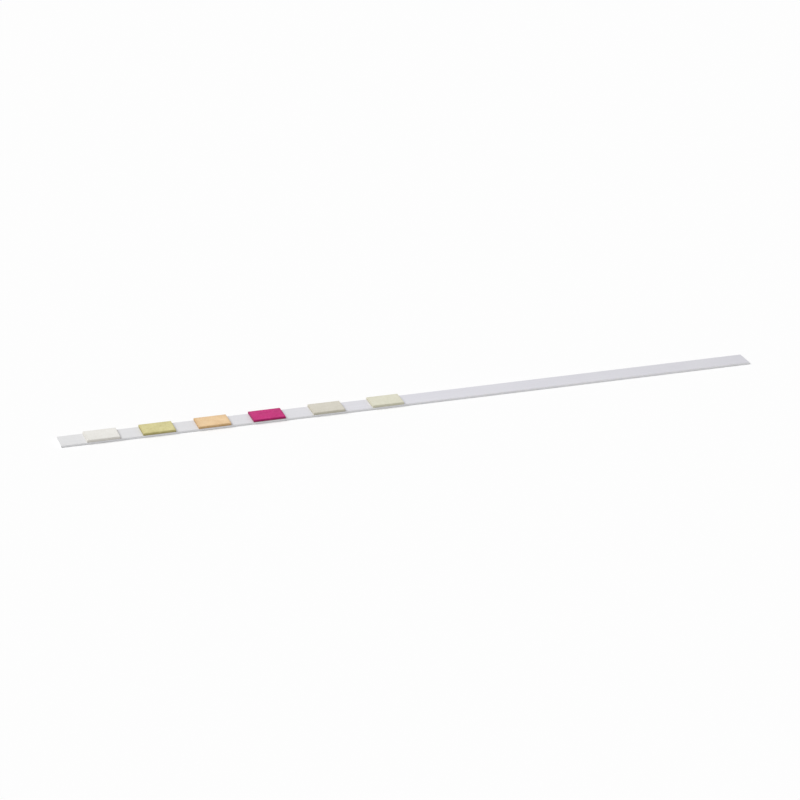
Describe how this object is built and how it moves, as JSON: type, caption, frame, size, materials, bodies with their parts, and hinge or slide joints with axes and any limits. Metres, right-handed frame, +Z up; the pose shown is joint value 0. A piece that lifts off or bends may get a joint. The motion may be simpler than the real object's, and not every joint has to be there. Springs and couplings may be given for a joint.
{
  "type": "urine adulteration test strip",
  "caption": "Narrow white plastic dip strip with a row of coloured reagent-paper pads taped near one end and a long bare handle at the other.",
  "frame": {"origin": "centre of the film's underside, on the surface that the strip lies on", "axes": "+X along the strip from the dipping tip to the handle, +Y across it, +Z up through the pads' faces"},
  "size_m": [0.111, 0.0036, 0.0007],
  "materials": {
    "film": "opaque white plastic film, satin, with a faint cool tint",
    "tape": "milky double-sided adhesive tape, seen only at its cut edges",
    "pad_1_white": "off-white reagent-soaked filter paper, matt and fibrous",
    "pad_2_yellow": "olive yellow reagent-soaked filter paper, matt and fibrous",
    "pad_3_orange": "light orange reagent-soaked filter paper, matt and fibrous",
    "pad_4_magenta": "magenta reagent-soaked filter paper, matt and fibrous",
    "pad_5_khaki": "pale khaki reagent-soaked filter paper, matt and fibrous",
    "pad_6_cream": "cream reagent-soaked filter paper, matt and fibrous"
  },
  "bodies": {
    "root": {"film": "film", "tape_1": "tape", "tape_2": "tape", "tape_3": "tape", "tape_4": "tape", "tape_5": "tape", "tape_6": "tape", "pad_1_white": "pad_1_white", "pad_2_yellow": "pad_2_yellow", "pad_3_orange": "pad_3_orange", "pad_4_magenta": "pad_4_magenta", "pad_5_khaki": "pad_5_khaki", "pad_6_cream": "pad_6_cream"}
  },
  "joints": []
}
